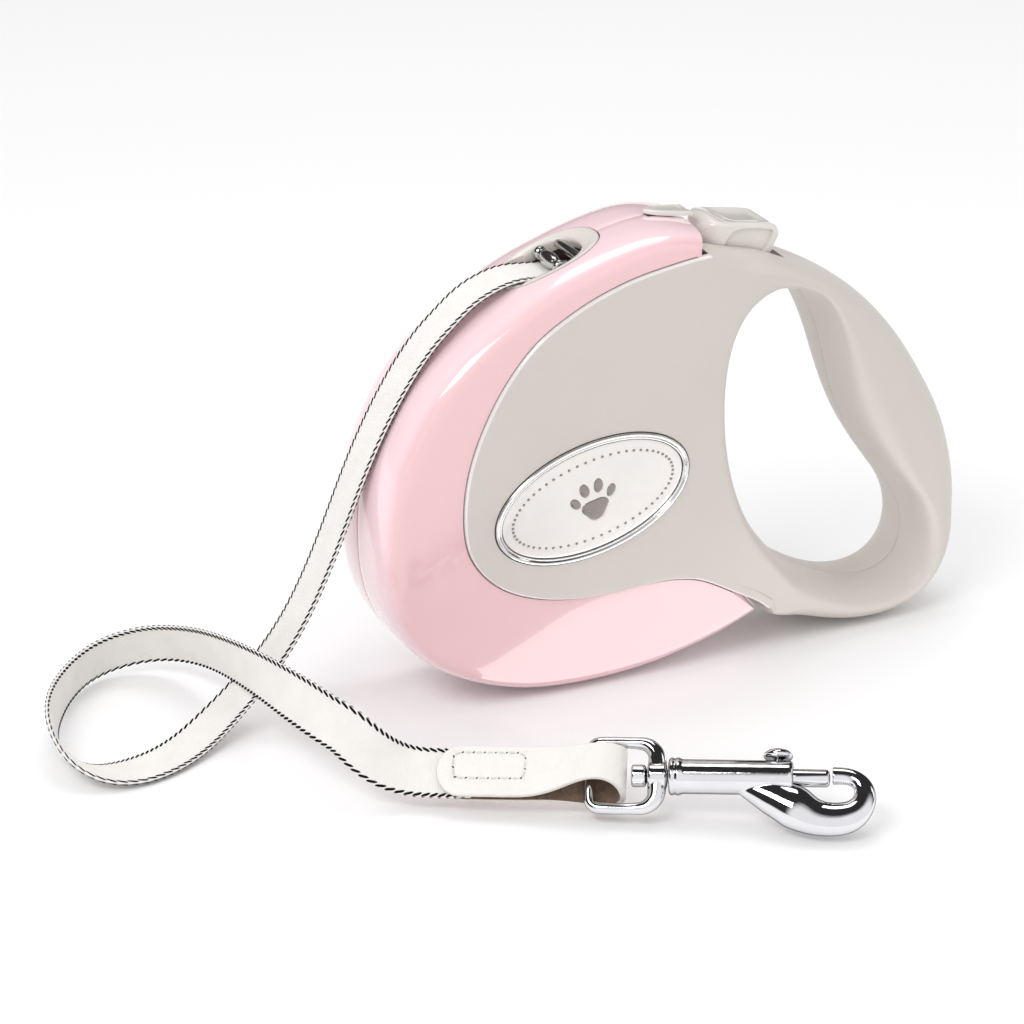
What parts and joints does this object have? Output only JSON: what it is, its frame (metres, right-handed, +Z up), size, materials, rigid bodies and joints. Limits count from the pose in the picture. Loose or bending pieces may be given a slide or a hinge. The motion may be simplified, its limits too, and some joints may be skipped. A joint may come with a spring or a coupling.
{
  "type": "retractable leash",
  "caption": "Hand-held retractable tape leash: two-colour moulded case with a closed pistol grip, thumb brake, flat woven tape on a spring spool, folded leather tab and swivel bolt snap.",
  "frame": {"origin": "on the plane the case stands on, under the middle of the whole part's bounding box at rest (the case's mid-plane lies at y = +35.2 mm, since the tape end lies in front of it)", "axes": "+X from the tape exit towards the grip, +Y through the thickness to the case's right side, +Z up with the case standing on its edge"},
  "size_m": [0.2434, 0.1528, 0.1177],
  "materials": {
    "pink_plastic": "gloss",
    "grey_plastic": "satin",
    "chrome": "polished",
    "badge_plate": "pearl",
    "button_plastic": "satin",
    "nylon": "moulded",
    "black_plastic": "moulded",
    "steel": "machined",
    "tape": "woven",
    "leather": "smooth"
  },
  "bodies": {
    "case": {"shell_left": "pink_plastic", "shell_right": "pink_plastic", "cover_left": "grey_plastic", "cover_right": "grey_plastic", "badge_ring_left": "chrome", "badge_ring_right": "chrome", "badge_plate_left": "badge_plate", "badge_plate_right": "badge_plate", "case_screw_1": "steel", "case_screw_2": "steel", "case_screw_3": "steel", "case_screw_4": "steel", "case_screw_5": "steel", "exit_bezel": "grey_plastic", "roller_pin": "steel", "guide_pin": "chrome", "guide_ramp": "black_plastic", "spool_axle": "steel", "spiral_spring": "steel", "brake_spring": "steel"},
    "spool_body": {"spool": "nylon", "spring_cover": "black_plastic", "wound_tape": "tape"},
    "roller_body": {"exit_roller": "chrome"},
    "brake": {"thumb_button": "button_plastic", "brake_pawl": "steel"},
    "lock": {"lock_slider": "button_plastic", "lock_retainer": "black_plastic"},
    "tape_lead_body": {"tape_lead": "tape"},
    "tape_upper_body": {"tape_upper": "tape"},
    "tape_loop_body": {"tape_loop": "tape"},
    "tab": {"tape_tail": "tape", "leather_tab": "leather"},
    "swivel": {"swivel_ring": "chrome"},
    "snap": {"snap_body": "chrome", "bolt_spring": "steel"},
    "bolt": {"snap_bolt": "chrome", "bolt_stud": "chrome"}
  },
  "joints": [
    {"name": "tape_pull", "type": "slide", "parent": "case", "child": "tape_lead_body", "axis": [-0.995, 0, 0.0995], "range_m": [0, 0.0259]},
    {"name": "spool_spin", "type": "hinge", "parent": "case", "child": "spool_body", "pos_m": [0.00138, 0.03517, 0.052], "axis": [0, -1, 0], "range_deg": [0, 45], "deforming": ["spiral_spring"]},
    {"name": "roller_spin", "type": "hinge", "parent": "case", "child": "roller_body", "pos_m": [0.00888, 0.03517, 0.1084], "axis": [0, 1, 0], "range_deg": [0, 750]},
    {"name": "brake_press", "type": "slide", "parent": "case", "child": "brake", "axis": [-0.1701, 0, -0.9854], "range_m": [0, 0.003], "deforming": ["brake_spring"]},
    {"name": "lock_slide", "type": "slide", "parent": "case", "child": "lock", "axis": [-0.9929, 0, 0.1191], "range_m": [0, 0.003]},
    {"name": "tape_exit_swing", "type": "hinge", "parent": "tape_lead_body", "child": "tape_upper_body", "pos_m": [0.00328, 0.03517, 0.1062], "axis": [0, 0, 1], "range_deg": [-5, 5]},
    {"name": "tape_twist", "type": "hinge", "parent": "tape_upper_body", "child": "tape_loop_body", "pos_m": [-0.05811, 0.03525, 0.02856], "axis": [0, 0, 1], "range_deg": [-12, 12]},
    {"name": "tab_swing", "type": "hinge", "parent": "tape_loop_body", "child": "tab", "pos_m": [-0.06188, -0.00953, 0.016], "axis": [-0.4359, -0.0335, -0.8994], "range_deg": [-5, 15]},
    {"name": "ring_pivot", "type": "hinge", "parent": "tab", "child": "swivel", "pos_m": [-0.01457, -0.03669, 0.00927], "axis": [-0.347, -0.6304, -0.6944], "range_deg": [-5, 25]},
    {"name": "snap_swivel", "type": "hinge", "parent": "swivel", "child": "snap", "pos_m": [-0.00088, -0.04494, 0.00992], "axis": [0.8557, -0.5159, 0.0408], "continuous": true},
    {"name": "bolt_slide", "type": "slide", "parent": "snap", "child": "bolt", "axis": [-0.8557, 0.5159, -0.0408], "range_m": [0, 0.008], "deforming": ["bolt_spring"]}
  ],
  "couplings": [
    {"joint": "spool_spin", "follows": "tape_pull", "rad_per_m": 30.32},
    {"joint": "roller_spin", "follows": "tape_pull", "rad_per_m": 500}
  ]
}
